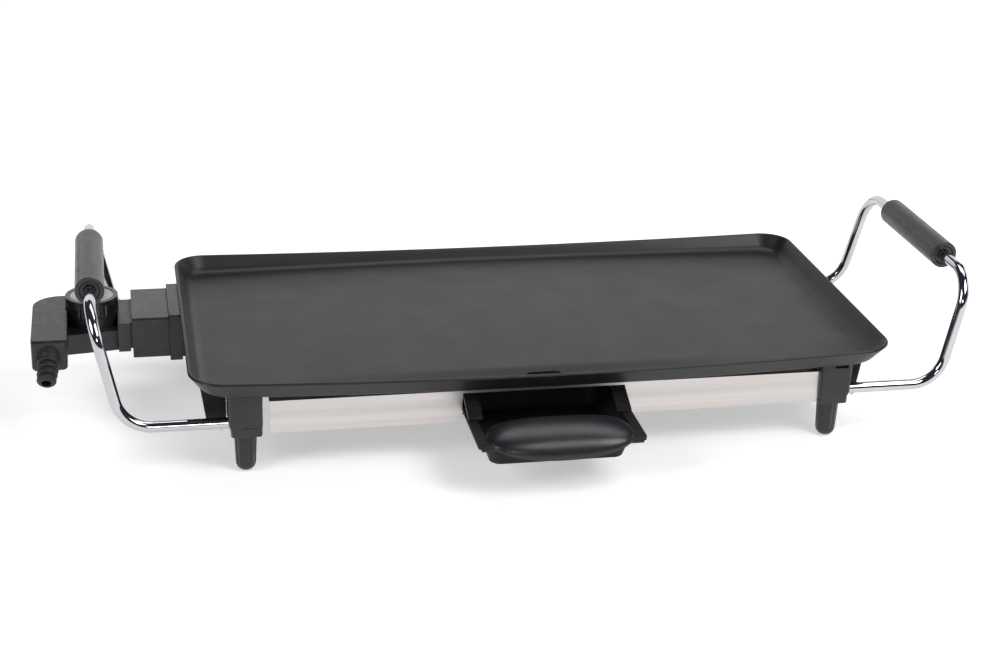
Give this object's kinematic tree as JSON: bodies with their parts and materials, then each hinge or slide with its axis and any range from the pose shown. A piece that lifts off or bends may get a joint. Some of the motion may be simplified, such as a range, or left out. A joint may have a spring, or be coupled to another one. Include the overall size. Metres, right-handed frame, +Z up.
{
  "type": "electric griddle",
  "caption": "Table-top electric griddle with a coated rimmed plate, wire carrying handles, pull-out drip tray and plug-in thermostat with a control dial.",
  "frame": {"origin": "middle of the whole object's footprint, on the table under its feet", "axes": "+X along the plate's length, away from the thermostat; +Y towards the rear, away from the drip tray; +Z up"},
  "size_m": [0.6234, 0.2818, 0.117],
  "materials": {
    "nonstick_plate": "satin black non-stick coating",
    "bakelite": "satin moulded bakelite",
    "foot_plastic": "polished moulded bakelite",
    "chrome_wire": "bright chrome plate",
    "grip_plastic": "fine satin grain",
    "brushed_strip": "brushed along its length",
    "black_sheet": "matt black paint",
    "tray_plastic": "satin heat-resistant moulding",
    "gloss_pull": "high gloss",
    "thermostat_plastic": "semi-gloss moulding",
    "dial_plastic": "gloss, fluted edge",
    "dial_silver": "satin silver print",
    "relief_rubber": "soft moulded rubber",
    "steel_tube": "drawn steel tube",
    "zinc_steel": "zinc plated",
    "ceramic": "unglazed off-white",
    "contact_brass": "plain"
  },
  "bodies": {
    "griddle": {"griddle_plate": "nonstick_plate", "heating_element": "steel_tube", "element_clips": "zinc_steel", "clip_screws": "zinc_steel", "leg_front_left": "bakelite", "leg_front_right": "bakelite", "leg_rear_left": "bakelite", "leg_rear_right": "bakelite", "foot_front_left": "foot_plastic", "foot_front_right": "foot_plastic", "foot_rear_left": "foot_plastic", "foot_rear_right": "foot_plastic", "leg_studs": "zinc_steel", "handle_rod_left": "chrome_wire", "handle_rod_right": "chrome_wire", "handle_grip_left": "grip_plastic", "handle_grip_right": "grip_plastic", "front_strip": "brushed_strip", "rear_strip": "brushed_strip", "strip_screws": "zinc_steel", "end_panel_left": "black_sheet", "end_panel_right": "black_sheet", "panel_screws": "zinc_steel", "tray_guide": "bakelite", "guide_screws": "zinc_steel", "socket_shroud": "bakelite", "socket_collar": "bakelite", "socket_screws": "zinc_steel", "terminal_block": "ceramic", "terminal_pins": "steel_tube", "probe_guide": "steel_tube"},
    "tray": {"drip_tray": "tray_plastic", "tray_handle": "gloss_pull", "tray_screws": "zinc_steel"},
    "thermostat": {"housing_base": "thermostat_plastic", "housing_cover": "thermostat_plastic", "strain_relief": "relief_rubber", "plug_insert": "thermostat_plastic", "contact_sleeves": "contact_brass", "probe_rod": "steel_tube", "switch_stack": "ceramic", "contact_blades": "contact_brass"},
    "dial": {"control_dial": "dial_plastic", "dial_face": "dial_silver", "dial_shaft": "dial_plastic"}
  },
  "joints": [
    {"name": "tray_slide", "type": "slide", "parent": "griddle", "child": "tray", "axis": [0, -1, 0], "range_m": [0, 0.06]},
    {"name": "thermostat_unplug", "type": "slide", "parent": "griddle", "child": "thermostat", "axis": [-1, 0, 0], "range_m": [0, 0.095]},
    {"name": "dial_turn", "type": "hinge", "parent": "thermostat", "child": "dial", "pos_m": [-0.27237, 0.05987, 0.067], "axis": [0, 0, 1], "range_deg": [-270, 0]}
  ]
}
